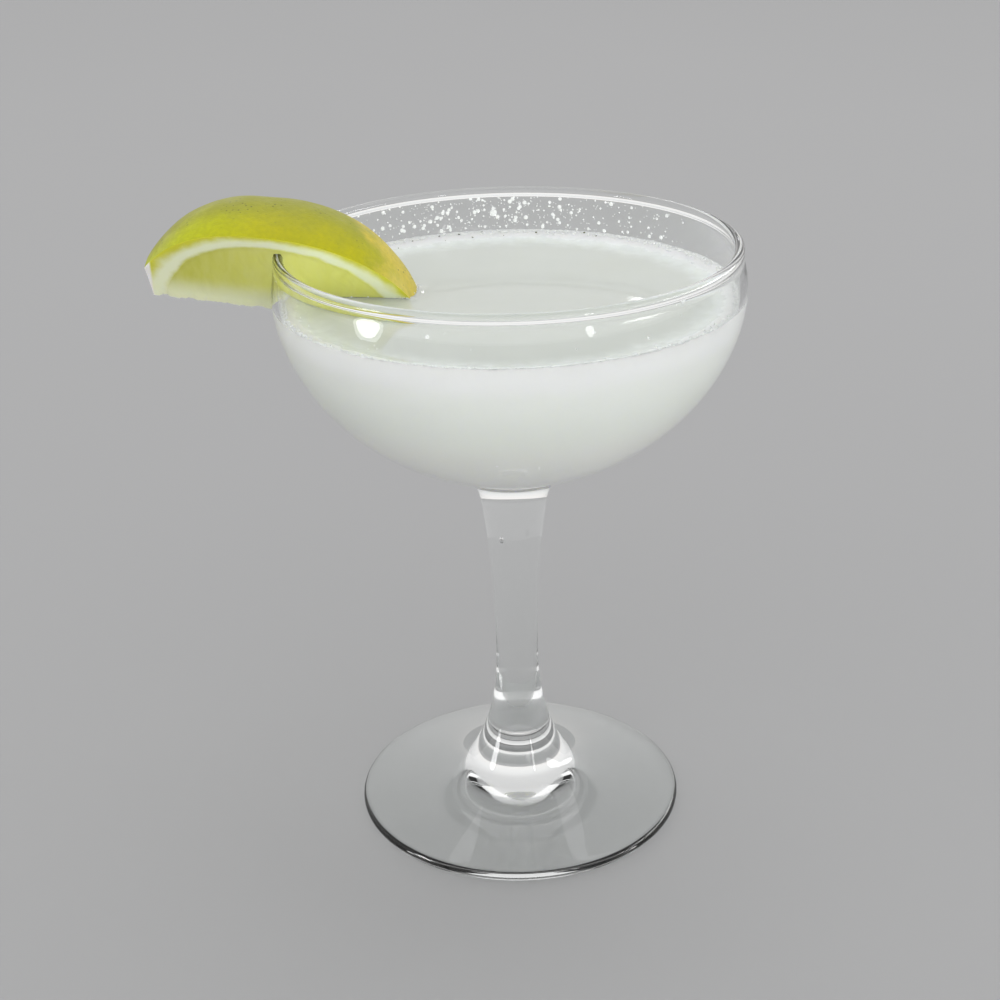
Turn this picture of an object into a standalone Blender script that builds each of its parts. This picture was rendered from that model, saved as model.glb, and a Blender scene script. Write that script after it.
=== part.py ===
"""A margarita in a stemmed coupe glass, with a lime wedge hung on the rim.

Units are metres and +Z is up. The origin is on the glass's axis, in the plane that its foot stands on. Seen from the
front, from -Y, the wedge hangs on the rim at the left, at -X.
"""

import math
import random

import bmesh
import bpy
from mathutils import Matrix

MM = 0.001

# The glass, all radii to its outside
GLASS_HEIGHT = 128.9 * MM
RIM_RADIUS = 47.0 * MM
BEAD_RADIUS = 1.05 * MM
BOWL_RADIUS = 47.8 * MM
BOWL_WIDEST = 119.5 * MM
BOWL_BOTTOM = 79.5 * MM
BOWL_FALL = 1.80
BOWL_ROUND = 1.92
LIP_TUCK = 1.8 * MM
LIP_RINGS = (122.5 * MM, 125.5 * MM)
WALL = 1.3 * MM
BOWL_FLOOR = 2.6 * MM
FILLET_TOP = 81.9 * MM
FILLET_HANDLES = ((7.9 * MM, 76.6 * MM), (9.2 * MM, 80.6 * MM))
STEM_TOP = 73.5 * MM
STEM_TOP_RADIUS = 7.1 * MM
STEM_WAIST = 40.0 * MM
STEM_WAIST_RADIUS = 4.58 * MM
STEM_FOOT = 11.0 * MM
STEM_FOOT_RADIUS = 10.8 * MM
STEM_FLARE = 2.8
FOOT_RADIUS = 35.7 * MM
FOOT_EDGE = 1.3 * MM
FOOT_HANDLES = ((24 * MM, 4.7 * MM), (13 * MM, 7.4 * MM))

# The drink
LEVEL = 117.4 * MM
FROTH_HEIGHT = 1.7 * MM
FROTH_WIDTH = 2.6 * MM

# The lime and its wedge
TIP_LENGTH = 31.1 * MM
TIP_FALL = 2.15
STEM_END_LENGTH = 29.1 * MM
STEM_END_FALL = 2.66
LIME_RADIUS = 22.9 * MM
LIME_ROUND = 1.60
STEM_END_TRIM = 2.6 * MM
STEM_END_SLANT = 1.1 * MM
WEDGE_ANGLE = math.radians(64)
WEDGE_CENTRE = (-48.1 * MM, 5.7 * MM, 114.2 * MM)
WEDGE_TURN = (math.radians(3.3), math.radians(7.9), math.radians(-1.8))
CORE_BITE = 0.9 * MM
SLIT_ABOVE_RIM = 0.9 * MM

GAP = 0.3 * MM
SLIT_GAP = 0.35 * MM
AROUND = 48
WEDGE_ALONG = 26
WEDGE_ACROSS = 9
WEDGE_DEEP = 4
CORE_REACH = 0.95
SLIT_STEPS = (20, 28)
SLIT_DEPTH = 22 * MM
SLIT_CROWN = 0.6
MERGE = 1e-7


def arc(centre, radius, start, end, count):
    """Points on a circle in the outline's plane, from one angle in degrees to another."""
    angles = [math.radians(start + (end - start) * i / count) for i in range(count + 1)]
    return [(centre[0] + radius * math.cos(a), centre[1] + radius * math.sin(a)) for a in angles]


def bezier(a, b, c, d, count):
    """Points on a cubic curve, without its first one."""
    points = []
    for i in range(1, count + 1):
        t = i / count
        weights = ((1 - t) ** 3, 3 * t * (1 - t) ** 2, 3 * t * t * (1 - t), t ** 3)
        points.append(tuple(sum(w * p[k] for w, p in zip(weights, (a, b, c, d))) for k in (0, 1)))
    return points


def bowl_radius(z, inset=0.0, floor=0.0):
    """The bowl's radius at a height: a flattened oval below its widest place, and a slight tuck above it."""
    widest = BOWL_RADIUS - inset
    if z >= BOWL_WIDEST:
        return widest - LIP_TUCK * ((z - BOWL_WIDEST) / (GLASS_HEIGHT - BOWL_WIDEST)) ** 2
    drop = (BOWL_WIDEST - z) / (BOWL_WIDEST - BOWL_BOTTOM - floor)
    return widest * max(0.0, 1 - drop ** BOWL_FALL) ** (1 / BOWL_ROUND)


def bowl_curve(low, high, inset=0.0, floor=0.0, count=14):
    """Outline points of the bowl from a low to a high place, closer together near its bottom."""
    points = []
    for i in range(count + 1):
        z = low + (high - low) * (1 - math.cos(math.pi / 2 * i / count))
        points.append((bowl_radius(z, inset, floor), z))
    return points


def stem_radius(z):
    """The stem's radius at a height: narrowest at its waist, and wider towards the bowl and the foot."""
    if z >= STEM_WAIST:
        rise = (z - STEM_WAIST) / (STEM_TOP - STEM_WAIST)
        return STEM_WAIST_RADIUS + (STEM_TOP_RADIUS - STEM_WAIST_RADIUS) * rise ** 2
    fall = (STEM_WAIST - z) / (STEM_WAIST - STEM_FOOT)
    return STEM_WAIST_RADIUS + (STEM_FOOT_RADIUS - STEM_WAIST_RADIUS) * fall ** STEM_FLARE


def foot_outline():
    """From the axis on the underside, round the thick edge and up the shallow cone to the stem's flare."""
    edge = arc((FOOT_RADIUS - FOOT_EDGE, FOOT_EDGE), FOOT_EDGE, start=-90, end=78, count=6)
    top = bezier(edge[-1], *FOOT_HANDLES, (STEM_FOOT_RADIUS, STEM_FOOT), count=8)
    return [(0.0, 0.0)] + edge + top


def stem_outline():
    """From the flare on the foot, through the waist, to the fillet under the bowl.

    The rings of the shaft lie closer together towards the foot, where it bends most.
    """
    count = 13
    crowding = 1.25
    heights = [STEM_FOOT + (STEM_TOP - STEM_FOOT) * (i / count) ** crowding for i in range(1, count + 1)]
    shaft = [(stem_radius(z), z) for z in heights]
    return shaft + bezier(shaft[-1], *FILLET_HANDLES, (bowl_radius(FILLET_TOP), FILLET_TOP), count=5)


def rim_outline():
    """The rounded bead, from its outer side over the top to its inner side."""
    centre = (RIM_RADIUS - BEAD_RADIUS, GLASS_HEIGHT - BEAD_RADIUS)
    return arc(centre, BEAD_RADIUS, start=-35, end=230, count=9)


def glass_outline():
    """The whole glass in one line: foot, stem, the bowl's outside, the rim and the bowl's inside."""
    outside = bowl_curve(FILLET_TOP, BOWL_WIDEST, count=12)[1:]
    outer_lip = [(bowl_radius(z), z) for z in LIP_RINGS]
    inner_lip = [(bowl_radius(z, WALL, BOWL_FLOOR), z) for z in reversed(LIP_RINGS)]
    inside = bowl_curve(BOWL_BOTTOM + BOWL_FLOOR, BOWL_WIDEST, WALL, BOWL_FLOOR)
    return foot_outline() + stem_outline() + outside + outer_lip + rim_outline() + inner_lip + inside[::-1]


def drink_outline():
    """The filled bowl, a gap clear of the glass, with the raised collar of froth along the wall."""
    inset = WALL + GAP
    floor = BOWL_FLOOR + GAP
    bottom = BOWL_BOTTOM + floor
    side = bowl_curve(bottom, LEVEL, inset, floor)
    wall = bowl_radius(LEVEL + FROTH_HEIGHT, inset, floor)
    count = 6
    collar = []
    for i in range(count + 1):
        height = FROTH_HEIGHT * (1 + math.cos(math.pi * i / count)) / 2
        collar.append((wall - FROTH_WIDTH * i / count, LEVEL + height))
    return side + collar + [(0.0, LEVEL)]


def finish(bm, name, material, smooth=math.radians(35)):
    """Closes a bmesh into a named object with its own material, shaded smooth except at real edges."""
    bmesh.ops.remove_doubles(bm, verts=bm.verts, dist=MERGE)
    bmesh.ops.dissolve_degenerate(bm, edges=bm.edges, dist=MERGE)
    bmesh.ops.recalc_face_normals(bm, faces=bm.faces)
    mesh = bpy.data.meshes.new(name)
    bm.to_mesh(mesh)
    bm.free()
    mesh.materials.append(material)
    mesh.shade_smooth()
    mesh.set_sharp_from_angle(angle=smooth)
    thing = bpy.data.objects.new(name, mesh)
    bpy.context.scene.collection.objects.link(thing)
    return thing


def turned(name, outline, material):
    """A solid of revolution: the outline starts and ends on the axis and is spun round it."""
    bm = bmesh.new()
    points = [bm.verts.new((r, 0.0, z)) for r, z in outline]
    edges = [bm.edges.new(pair) for pair in zip(points, points[1:])]
    bmesh.ops.spin(
        bm, geom=points + edges, cent=(0, 0, 0), axis=(0, 0, 1), angle=math.tau, steps=AROUND, use_merge=True
    )
    return finish(bm, name, material)


def lime_radius(x):
    """The whole lime's radius at a place along its length: an oval, blunt at the stem and pointed at the tip."""
    length, fall = (TIP_LENGTH, TIP_FALL) if x > 0 else (STEM_END_LENGTH, STEM_END_FALL)
    return LIME_RADIUS * max(0.0, 1 - abs(x / length) ** fall) ** (1 / LIME_ROUND)


def wedge_solid(name, material, grow=0.0):
    """A sector of the lime about its core, along local X, with the peel up.

    One cut face is a grid from core to peel, and it is spun about the core to the other cut face. With grow, every
    face is that much further out, for the room that the wedge takes in the drink.
    """
    bm = bmesh.new()
    bmesh.ops.create_grid(bm, x_segments=WEDGE_ALONG, y_segments=WEDGE_DEEP, size=1.0)
    sink = grow / math.sin(WEDGE_ANGLE / 2)
    stretch = 1 + grow / TIP_LENGTH
    for vert in bm.verts:
        depth = (vert.co.y + 1) / 2
        along = (1 - math.cos(math.pi * (vert.co.x + 1) / 2)) / 2
        low = -STEM_END_LENGTH + STEM_END_TRIM + STEM_END_SLANT * (1 - depth)
        x = low + (TIP_LENGTH - low) * along
        vert.co = (x * stretch, 0.0, (lime_radius(x) + grow + sink) * depth)
    start = Matrix.Rotation(-WEDGE_ANGLE / 2, 4, "X")
    bmesh.ops.transform(bm, matrix=start, verts=bm.verts)
    bmesh.ops.spin(
        bm, geom=bm.verts[:] + bm.edges[:] + bm.faces[:], cent=(0, 0, 0), axis=(1, 0, 0), angle=WEDGE_ANGLE,
        steps=WEDGE_ACROSS
    )
    bmesh.ops.remove_doubles(bm, verts=bm.verts, dist=MERGE)
    if grow:
        bmesh.ops.translate(bm, vec=(0, 0, -sink), verts=bm.verts)
    else:
        fray_core(bm)
    thing = finish(bm, name, material)
    thing.location = WEDGE_CENTRE
    thing.rotation_euler = WEDGE_TURN
    return thing


def fray_core(bm):
    """The knife tore the core edge here and there: it stands a little higher in places."""
    draw = random.Random(7)
    reach = TIP_LENGTH * CORE_REACH
    core = [v for v in bm.verts if max(abs(v.co.y), abs(v.co.z)) < MERGE and v.co.x < reach]
    for vert in sorted(core, key=lambda v: v.co.x):
        vert.co.z += CORE_BITE * draw.random() ** 2


def slit_cutter():
    """The room that the glass's rim takes in the wedge: a stretch of the wall, a gap wider on every side."""
    bead = RIM_RADIUS - BEAD_RADIUS
    top = GLASS_HEIGHT + SLIT_ABOVE_RIM
    half = BEAD_RADIUS + SLIT_GAP
    heights = [GLASS_HEIGHT - SLIT_DEPTH + SLIT_DEPTH * i / 6 for i in range(6)]
    outer = [(max(bowl_radius(z) + SLIT_GAP, bead + half), z) for z in heights]
    inner = [(min(bowl_radius(z, WALL, BOWL_FLOOR) - SLIT_GAP, bead - half), z) for z in reversed(heights)]
    shoulder = GLASS_HEIGHT - BEAD_RADIUS
    outline = outer + [(bead + half, shoulder), (bead + half * SLIT_CROWN, top)]
    outline += [(bead - half * SLIT_CROWN, top), (bead - half, shoulder)] + inner
    bm = bmesh.new()
    face = bm.faces.new([bm.verts.new((r, 0.0, z)) for r, z in outline])
    step = math.tau / AROUND
    bmesh.ops.rotate(bm, cent=(0, 0, 0), matrix=Matrix.Rotation(SLIT_STEPS[0] * step, 3, "Z"), verts=bm.verts)
    steps = SLIT_STEPS[1] - SLIT_STEPS[0]
    bmesh.ops.spin(
        bm, geom=[face] + face.edges[:] + face.verts[:], cent=(0, 0, 0), axis=(0, 0, 1), angle=steps * step,
        steps=steps
    )
    return finish(bm, "slit_cutter", bpy.data.materials["glass"])


def cut(thing, cutter):
    """Takes the cutter's shape out of a solid with a Boolean that stays on the object."""
    cutter.hide_render = True
    cutter.display_type = "WIRE"
    boolean = thing.modifiers.new(cutter.name, "BOOLEAN")
    boolean.operation = "DIFFERENCE"
    boolean.object = cutter


def surface(name, colour, roughness, transmission=0.0, ior=1.45):
    """A material with one colour and gloss, clear where it transmits."""
    material = bpy.data.materials.new(name)
    material.use_nodes = True
    shader = material.node_tree.nodes["Principled BSDF"]
    shader.inputs["Base Color"].default_value = (*colour, 1.0)
    shader.inputs["Roughness"].default_value = roughness
    shader.inputs["Metallic"].default_value = 0.0
    shader.inputs["Transmission Weight"].default_value = transmission
    shader.inputs["IOR"].default_value = ior
    return material


def main():
    for thing in list(bpy.data.objects):
        bpy.data.objects.remove(thing)
    clear = surface("glass", (0.97, 0.99, 0.98), 0.0, transmission=1.0, ior=1.5)
    cloudy = surface("drink", (0.66, 0.71, 0.66), 0.1)
    fruit = surface("lime", (0.47, 0.45, 0.05), 0.35)

    cocktail = bpy.data.objects.new("cocktail", None)
    bpy.context.scene.collection.objects.link(cocktail)
    glass = turned("coupe_glass", glass_outline(), clear)
    drink = turned("drink", drink_outline(), cloudy)
    wedge = wedge_solid("lime_wedge", fruit)
    cut(wedge, slit_cutter())
    cut(drink, wedge_solid("wedge_room", fruit, SLIT_GAP))
    for piece in (glass, drink, wedge):
        piece.parent = cocktail


main()
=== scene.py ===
# %% [markdown]
# A margarita in a coupe glass, dressed for the camera
#
# Three plain solids are given: a clear stemmed glass, the cloudy drink in it, and a lime wedge hung on its
# rim. They have the real sizes but few faces and no finish. This lesson makes each of them again as a fine
# mesh from the same few measurements, gives it its real finish, and adds what is too small for a solid:
# froth, droplets and flecks.

# %% Load the solids
import math
import random

import bmesh
import bpy
from mathutils import Euler, Matrix, Vector, noise
from mathutils.bvhtree import BVHTree


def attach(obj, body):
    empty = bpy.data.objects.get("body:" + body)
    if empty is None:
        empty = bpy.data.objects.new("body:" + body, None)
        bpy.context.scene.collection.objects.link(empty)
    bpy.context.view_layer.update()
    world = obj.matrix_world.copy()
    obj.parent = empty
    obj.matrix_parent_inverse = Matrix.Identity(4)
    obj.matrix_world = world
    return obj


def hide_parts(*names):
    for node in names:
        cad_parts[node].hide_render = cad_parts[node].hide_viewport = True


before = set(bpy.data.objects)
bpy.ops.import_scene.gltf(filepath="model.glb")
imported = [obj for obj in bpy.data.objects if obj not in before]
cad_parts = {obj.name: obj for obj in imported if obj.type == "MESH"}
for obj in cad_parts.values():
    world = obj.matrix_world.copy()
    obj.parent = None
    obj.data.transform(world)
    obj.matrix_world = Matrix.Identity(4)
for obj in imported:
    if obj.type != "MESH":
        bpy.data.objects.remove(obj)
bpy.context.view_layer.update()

MM = 0.001

# %% [markdown]
# The camera stands a forearm's length in front of the glass and about a hand's width above its rim. A long
# lens keeps the round rim and the round foot at their real proportions. The three angles turn the camera: a
# slight turn to the side, a tilt down at the bowl, and the small lean of a camera held in the hand.

# %% Camera
CAMERA_PLACE = Vector((0.0, -341.6 * MM, 224.44 * MM))
CAMERA_TURN = math.radians(0.497)
CAMERA_DOWN = math.radians(23.954)
CAMERA_LEAN = math.radians(-1.463)
CAMERA_LENS = 63.23
CAMERA_SENSOR = 36.0

lens = bpy.data.cameras.new("camera")
lens.lens = CAMERA_LENS
lens.sensor_width = CAMERA_SENSOR
lens.clip_start = 5 * MM
camera = bpy.data.objects.new("camera", lens)
bpy.context.scene.collection.objects.link(camera)
aim = Euler((math.pi / 2 - CAMERA_DOWN, 0.0, CAMERA_TURN)).to_matrix().to_4x4()
camera.matrix_world = Matrix.Translation(CAMERA_PLACE) @ aim @ Matrix.Rotation(CAMERA_LEAN, 4, "Z")
bpy.context.scene.camera = camera
print("camera %.0f mm from the middle of the foot" % (CAMERA_PLACE.length / MM))

# %% [markdown]
# Clear glass shows only what it bends and mirrors, so its looks are made by what stands round it. One wide
# lamp overhead gives the soft shadow. A low, wide fill lights the drink and the lime from the front, and no
# mirror shows it. The windows are the opposite: only mirrors see them. They draw the white marks on the bowl
# and the rim, so their size and place are chosen for the marks alone. The left window has a brighter pane in
# its middle, and the one at the back is two thin slats.

# %% Lamps
BOWL_MIDDLE = Vector((0.0, 0.0, 0.12))
LEFT_WINDOW_COLOUR = (0.97, 0.99, 1.0)
# Each window: degrees round the glass, degrees above the horizon, distance, width and height, brightness.
WINDOWS = {
    "left_window": (-157, 4.5, 0.9, (0.26, 0.44), 3.0),
    "left_pane": (-157, 5.5, 0.88, (0.20, 0.34), 6.0),
    "front_window": (-54, 12, 1.0, (0.08, 0.40), 6.0),
    "low_window": (-67, 13.5, 1.0, (0.22, 0.10), 1.5),
    "right_window": (12, 14, 1.0, (1.3, 0.30), 4.0),
    "back_slat_low": (83.8, 17.0, 1.2, (0.036, 0.009), 8.0),
    "back_slat_high": (83.8, 18.1, 1.2, (0.036, 0.009), 8.0),
}


def soft_light(name, around, above, distance, size, brightness, only_mirrored=False):
    """A flat lamp that faces the bowl, from angles in degrees round the glass and above the horizon."""
    way = Euler((0.0, -math.radians(above), math.radians(around))).to_matrix() @ Vector((1.0, 0.0, 0.0))
    lamp = bpy.data.lights.new(name, "AREA")
    lamp.shape = "ELLIPSE" if only_mirrored else "RECTANGLE"
    lamp.size, lamp.size_y = size
    lamp.energy = brightness * math.pi * size[0] * size[1]
    thing = bpy.data.objects.new(name, lamp)
    bpy.context.scene.collection.objects.link(thing)
    facing = (-way).to_track_quat("-Z", "Y").to_matrix().to_4x4()
    thing.matrix_world = Matrix.Translation(BOWL_MIDDLE + way * distance) @ facing
    thing.visible_camera = False
    thing.visible_diffuse = not only_mirrored
    thing.visible_transmission = False
    return thing


overhead = soft_light("overhead", around=70, above=72, distance=1.3, size=(1.1, 0.9), brightness=0.9)
fill = soft_light("front_fill", around=-66, above=0, distance=1.2, size=(0.9, 0.24), brightness=4.8)
fill.visible_glossy = False
for name, (around, above, distance, size, brightness) in WINDOWS.items():
    soft_light(name, around, above, distance, size, brightness, only_mirrored=True)
bpy.data.lights["left_window"].color = LEFT_WINDOW_COLOUR
print("lamps:", len(bpy.data.lights))

# %% [markdown]
# Every finish is a small graph of nodes. Five helpers keep the graphs short to write. The first adds a node,
# sets its sockets and links it. The second starts a material with its one shader. The others mix two
# colours, turn a value into a soft step between two limits, and add two values.

# %% Helpers for finishes
def add_node(tree, kind, sockets=None, **settings):
    """Adds a node; a socket is given a plain value, or another node's output to link."""
    node = tree.nodes.new(kind)
    for name, value in settings.items():
        setattr(node, name, value)
    for name, value in (sockets or {}).items():
        if isinstance(value, bpy.types.NodeSocket):
            tree.links.new(value, node.inputs[name])
        else:
            node.inputs[name].default_value = value
    return node


def start_material(name, **sockets):
    """A material with a Principled shader, whose sockets are named with _ for a space."""
    material = bpy.data.materials.new(name)
    material.use_nodes = True
    shader = material.node_tree.nodes["Principled BSDF"]
    for socket, value in sockets.items():
        shader.inputs[socket.replace("_", " ")].default_value = value
    return material, material.node_tree, shader


def blend_colours(tree, factor, low, high):
    """Mixes two colours, each a plain colour or an output, and returns the output."""
    factor_socket, low_socket, high_socket = 0, 6, 7
    colours = [value if isinstance(value, bpy.types.NodeSocket) else (*value, 1.0) for value in (low, high)]
    sockets = {factor_socket: factor, low_socket: colours[0], high_socket: colours[1]}
    return add_node(tree, "ShaderNodeMix", sockets, data_type="RGBA").outputs["Result"]


def ramp(tree, value, low, high, start=0.0, end=1.0):
    """Runs smoothly from start to end as a value goes from low to high."""
    sockets = {"Value": value, "From Min": low, "From Max": high, "To Min": start, "To Max": end}
    return add_node(tree, "ShaderNodeMapRange", sockets, interpolation_type="SMOOTHSTEP").outputs[0]


def add_values(tree, first, second):
    """The sum of two values."""
    return add_node(tree, "ShaderNodeMath", {0: first, 1: second}, operation="ADD").outputs[0]


# %% [markdown]
# The room round the lamps is a plain ramp of tones, brightest at the horizon and greyer above, and its front
# half is a little brighter. It lights everything softly, and gives the bright lines along the rim, the stem
# and the foot. Where the camera looks past the floor it sees one light grey instead.

# %% Room
ROOM_TONES = ((0.0, 1.00), (0.22, 0.90), (0.60, 0.72), (1.0, 0.66))
HORIZON_TINT = (1.0, 0.975, 0.955)
FRONT_TONE = 1.12
FRONT_HALF = (0.1, -0.9)
HORIZON_SEEN = 0.80

world = bpy.data.worlds.new("room")
world.use_nodes = True
bpy.context.scene.world = world
room = world.node_tree
direction = add_node(room, "ShaderNodeTexCoord").outputs["Generated"]
parts = add_node(room, "ShaderNodeSeparateXYZ", {0: direction}).outputs
tones = add_node(room, "ShaderNodeValToRGB", {0: parts["Z"]})
for index, (height, tone) in enumerate(ROOM_TONES):
    stop = tones.color_ramp.elements[index] if index < 2 else tones.color_ramp.elements.new(height)
    stop.position = height
    stop.color = (*(tone * tint for tint in HORIZON_TINT), 1.0) if index == 0 else (tone, tone, tone, 1.0)
front = ramp(room, parts["Y"], *FRONT_HALF)
colour = blend_colours(room, front, tones.outputs["Color"], (FRONT_TONE,) * 3)
seen = add_node(room, "ShaderNodeLightPath").outputs["Is Camera Ray"]
colour = blend_colours(room, seen, colour, (HORIZON_SEEN,) * 3)
room.links.new(colour, room.nodes["Background"].inputs["Color"])
bpy.context.scene.view_settings.view_transform = "Standard"
print("the room's tones from the horizon up:", [tone for _, tone in ROOM_TONES])

# %% [markdown]
# Two effects come back in several finishes, so each is a node group, built once. Mottle gives a soft patchy
# value between a low and a high one: smudges on glass, clouds in the drink, green and yellow in the peel.
# Grain gives a bumpy normal from fine noise: the waviness of pressed glass, froth, and wet flesh. Patterns
# are read in object coordinates, which are metres here, so the size of a pattern is a real size.

# %% Node groups
def start_group(name, numbers, output):
    """A shader node group with a vector input, named number inputs and one output."""
    group = bpy.data.node_groups.new(name, "ShaderNodeTree")
    group.interface.new_socket("Vector", in_out="INPUT", socket_type="NodeSocketVector")
    for socket, value in numbers.items():
        made = group.interface.new_socket(socket, in_out="INPUT", socket_type="NodeSocketFloat")
        made.default_value = value
    group.interface.new_socket(output[0], in_out="OUTPUT", socket_type=output[1])
    return group, group.nodes.new("NodeGroupInput").outputs, group.nodes.new("NodeGroupOutput").inputs


def group_noise(group, given, detail):
    """A noise texture in a group, at the place and the scale that the group is given."""
    sockets = {"Vector": given["Vector"], "Scale": given["Scale"], "Detail": detail}
    return add_node(group, "ShaderNodeTexNoise", sockets).outputs["Fac"]


numbers = {"Scale": 100.0, "Low": 0.0, "High": 1.0}
mottle, given, result = start_group("mottle", numbers, ("Value", "NodeSocketFloat"))
sockets = {
    "Value": group_noise(mottle, given, 3.0), "From Min": 0.3, "From Max": 0.7, "To Min": given["Low"],
    "To Max": given["High"]
}
mottle.links.new(add_node(mottle, "ShaderNodeMapRange", sockets).outputs[0], result["Value"])

numbers = {"Scale": 1000.0, "Depth": 0.1 * MM}
grain, given, result = start_group("grain", numbers, ("Normal", "NodeSocketVector"))
sockets = {"Height": group_noise(grain, given, 2.0), "Distance": given["Depth"]}
grain.links.new(add_node(grain, "ShaderNodeBump", sockets).outputs["Normal"], result["Normal"])


def use_group(tree, group, **sockets):
    """Places a node group in a material and returns its one output."""
    return add_node(tree, "ShaderNodeGroup", sockets, node_tree=group).outputs[0]


def object_place(tree):
    """Where a point of the piece is, in metres."""
    return add_node(tree, "ShaderNodeTexCoord").outputs["Object"]


print("node groups:", [group.name for group in bpy.data.node_groups])

# %% [markdown]
# The floor is one pale disc, wide enough that no view meets its edge. It lies a hair under the foot, because
# two faces in one plane would fight in the picture. Only the overhead lamp and the room light it. Light
# linking keeps the other lamps off it, because with them a patch with a hard edge showed on the floor.

# %% Floor
FLOOR_RADIUS = 9.0
FLOOR_DROP = 0.1 * MM
FLOOR_TONE = (0.42, 0.42, 0.425)
FLOOR_PATCH = (0.45, 0.45, 0.455)


def into_scene(bm, name, *materials):
    """Turns a finished bmesh into an object at the origin, shaded smooth."""
    mesh = bpy.data.meshes.new(name)
    bm.to_mesh(mesh)
    bm.free()
    for material in materials:
        mesh.materials.append(material)
    mesh.shade_smooth()
    thing = bpy.data.objects.new(name, mesh)
    bpy.context.scene.collection.objects.link(thing)
    print(name, len(mesh.polygons), "faces")
    return thing


pale, tree, shader = start_material("pale_floor", Roughness=0.6)
patches = use_group(tree, mottle, Vector=object_place(tree), Scale=1.5, Low=0.0, High=0.35)
tree.links.new(blend_colours(tree, patches, FLOOR_TONE, FLOOR_PATCH), shader.inputs["Base Color"])
bm = bmesh.new()
bmesh.ops.create_circle(bm, cap_ends=True, segments=96, radius=FLOOR_RADIUS)
bmesh.ops.translate(bm, vec=(0, 0, -FLOOR_DROP), verts=bm.verts)
floor = into_scene(bm, "floor", pale)
spared = bpy.data.collections.new("lit_from_overhead_alone")
spared.objects.link(floor)
spared.collection_objects[0].light_linking.link_state = "EXCLUDE"
for lamp in [thing for thing in bpy.data.objects if thing.type == "LIGHT" and thing != overhead]:
    lamp.light_linking.receiver_collection = spared

# %% [markdown]
# The glass is a round thing, so one outline drawn on a half plane holds its whole shape. The bowl is a
# flattened oval with its widest place a little below the rim, and the rim is a fire-polished bead, thicker
# than the wall. The stem is solid: it narrows to a waist and flares onto the foot, a shallow cone with a
# thick rounded edge. The measurements are the ones that the plain solid was made from, apart from the last
# two: such a foot is a little hollow underneath, so that it stands on a ring.

# %% The glass's measurements
GLASS_HEIGHT = 128.9 * MM
RIM_RADIUS = 47.0 * MM
BEAD_RADIUS = 1.05 * MM
BOWL_RADIUS = 47.8 * MM
BOWL_WIDEST = 119.5 * MM
BOWL_BOTTOM = 79.5 * MM
BOWL_FALL = 1.80
BOWL_ROUND = 1.92
LIP_TUCK = 1.8 * MM
WALL = 1.3 * MM
BOWL_FLOOR = 2.6 * MM
FILLET_TOP = 81.9 * MM
FILLET_HANDLES = ((7.9 * MM, 76.6 * MM), (9.2 * MM, 80.6 * MM))
STEM_TOP = 73.5 * MM
STEM_TOP_RADIUS = 7.1 * MM
STEM_WAIST = 40.0 * MM
STEM_WAIST_RADIUS = 4.58 * MM
STEM_FOOT = 11.0 * MM
STEM_FOOT_RADIUS = 10.8 * MM
STEM_FLARE = 2.8
FOOT_RADIUS = 35.7 * MM
FOOT_EDGE = 1.3 * MM
FOOT_HANDLES = ((24 * MM, 4.7 * MM), (13 * MM, 7.4 * MM))
FOOT_HOLLOW = 2.9 * MM
FOOT_RING = 33.0 * MM
print("the glass is %.1f mm tall on a %.1f mm foot" % (GLASS_HEIGHT / MM, 2 * FOOT_RADIUS / MM))

# %% [markdown]
# Every stretch of the outline is a curve: arcs for the bead and the foot's edge, Bezier curves for the
# fillets, and formulas for bowl and stem. Here the curves get many more points than the solid has.

# %% The glass's outline
HOLLOW_STEPS = 24
STEM_STEPS = 44
LIP_STEP = 1.2 * MM
LIP_STEPS = 6


def arc(centre, radius, start, end, count):
    """Points on a circle in the outline's plane, from one angle in degrees to another."""
    angles = [math.radians(start + (end - start) * i / count) for i in range(count + 1)]
    return [(centre[0] + radius * math.cos(a), centre[1] + radius * math.sin(a)) for a in angles]


def bezier(a, b, c, d, count):
    """Points on a cubic curve, without its first one."""
    points = []
    for i in range(1, count + 1):
        t = i / count
        weights = ((1 - t) ** 3, 3 * t * (1 - t) ** 2, 3 * t * t * (1 - t), t ** 3)
        points.append(tuple(sum(w * p[k] for w, p in zip(weights, (a, b, c, d))) for k in (0, 1)))
    return points


def bowl_radius(z, inset=0.0, floor=0.0):
    """The bowl's radius at a height, outside or, with the wall as inset, inside."""
    widest = BOWL_RADIUS - inset
    if z >= BOWL_WIDEST:
        return widest - LIP_TUCK * ((z - BOWL_WIDEST) / (GLASS_HEIGHT - BOWL_WIDEST)) ** 2
    drop = (BOWL_WIDEST - z) / (BOWL_WIDEST - BOWL_BOTTOM - floor)
    return widest * max(0.0, 1 - drop ** BOWL_FALL) ** (1 / BOWL_ROUND)


def bowl_curve(low, high, inset=0.0, floor=0.0, count=40):
    """Outline points of the bowl from a low to a high place, closer together near its bottom."""
    heights = [low + (high - low) * (1 - math.cos(math.pi / 2 * i / count)) for i in range(count + 1)]
    return [(bowl_radius(z, inset, floor), z) for z in heights]


def stem_radius(z):
    """The stem's radius at a height: narrowest at its waist."""
    if z >= STEM_WAIST:
        rise = (z - STEM_WAIST) / (STEM_TOP - STEM_WAIST)
        return STEM_WAIST_RADIUS + (STEM_TOP_RADIUS - STEM_WAIST_RADIUS) * rise ** 2
    fall = (STEM_WAIST - z) / (STEM_WAIST - STEM_FOOT)
    return STEM_WAIST_RADIUS + (STEM_FOOT_RADIUS - STEM_WAIST_RADIUS) * fall ** STEM_FLARE


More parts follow.
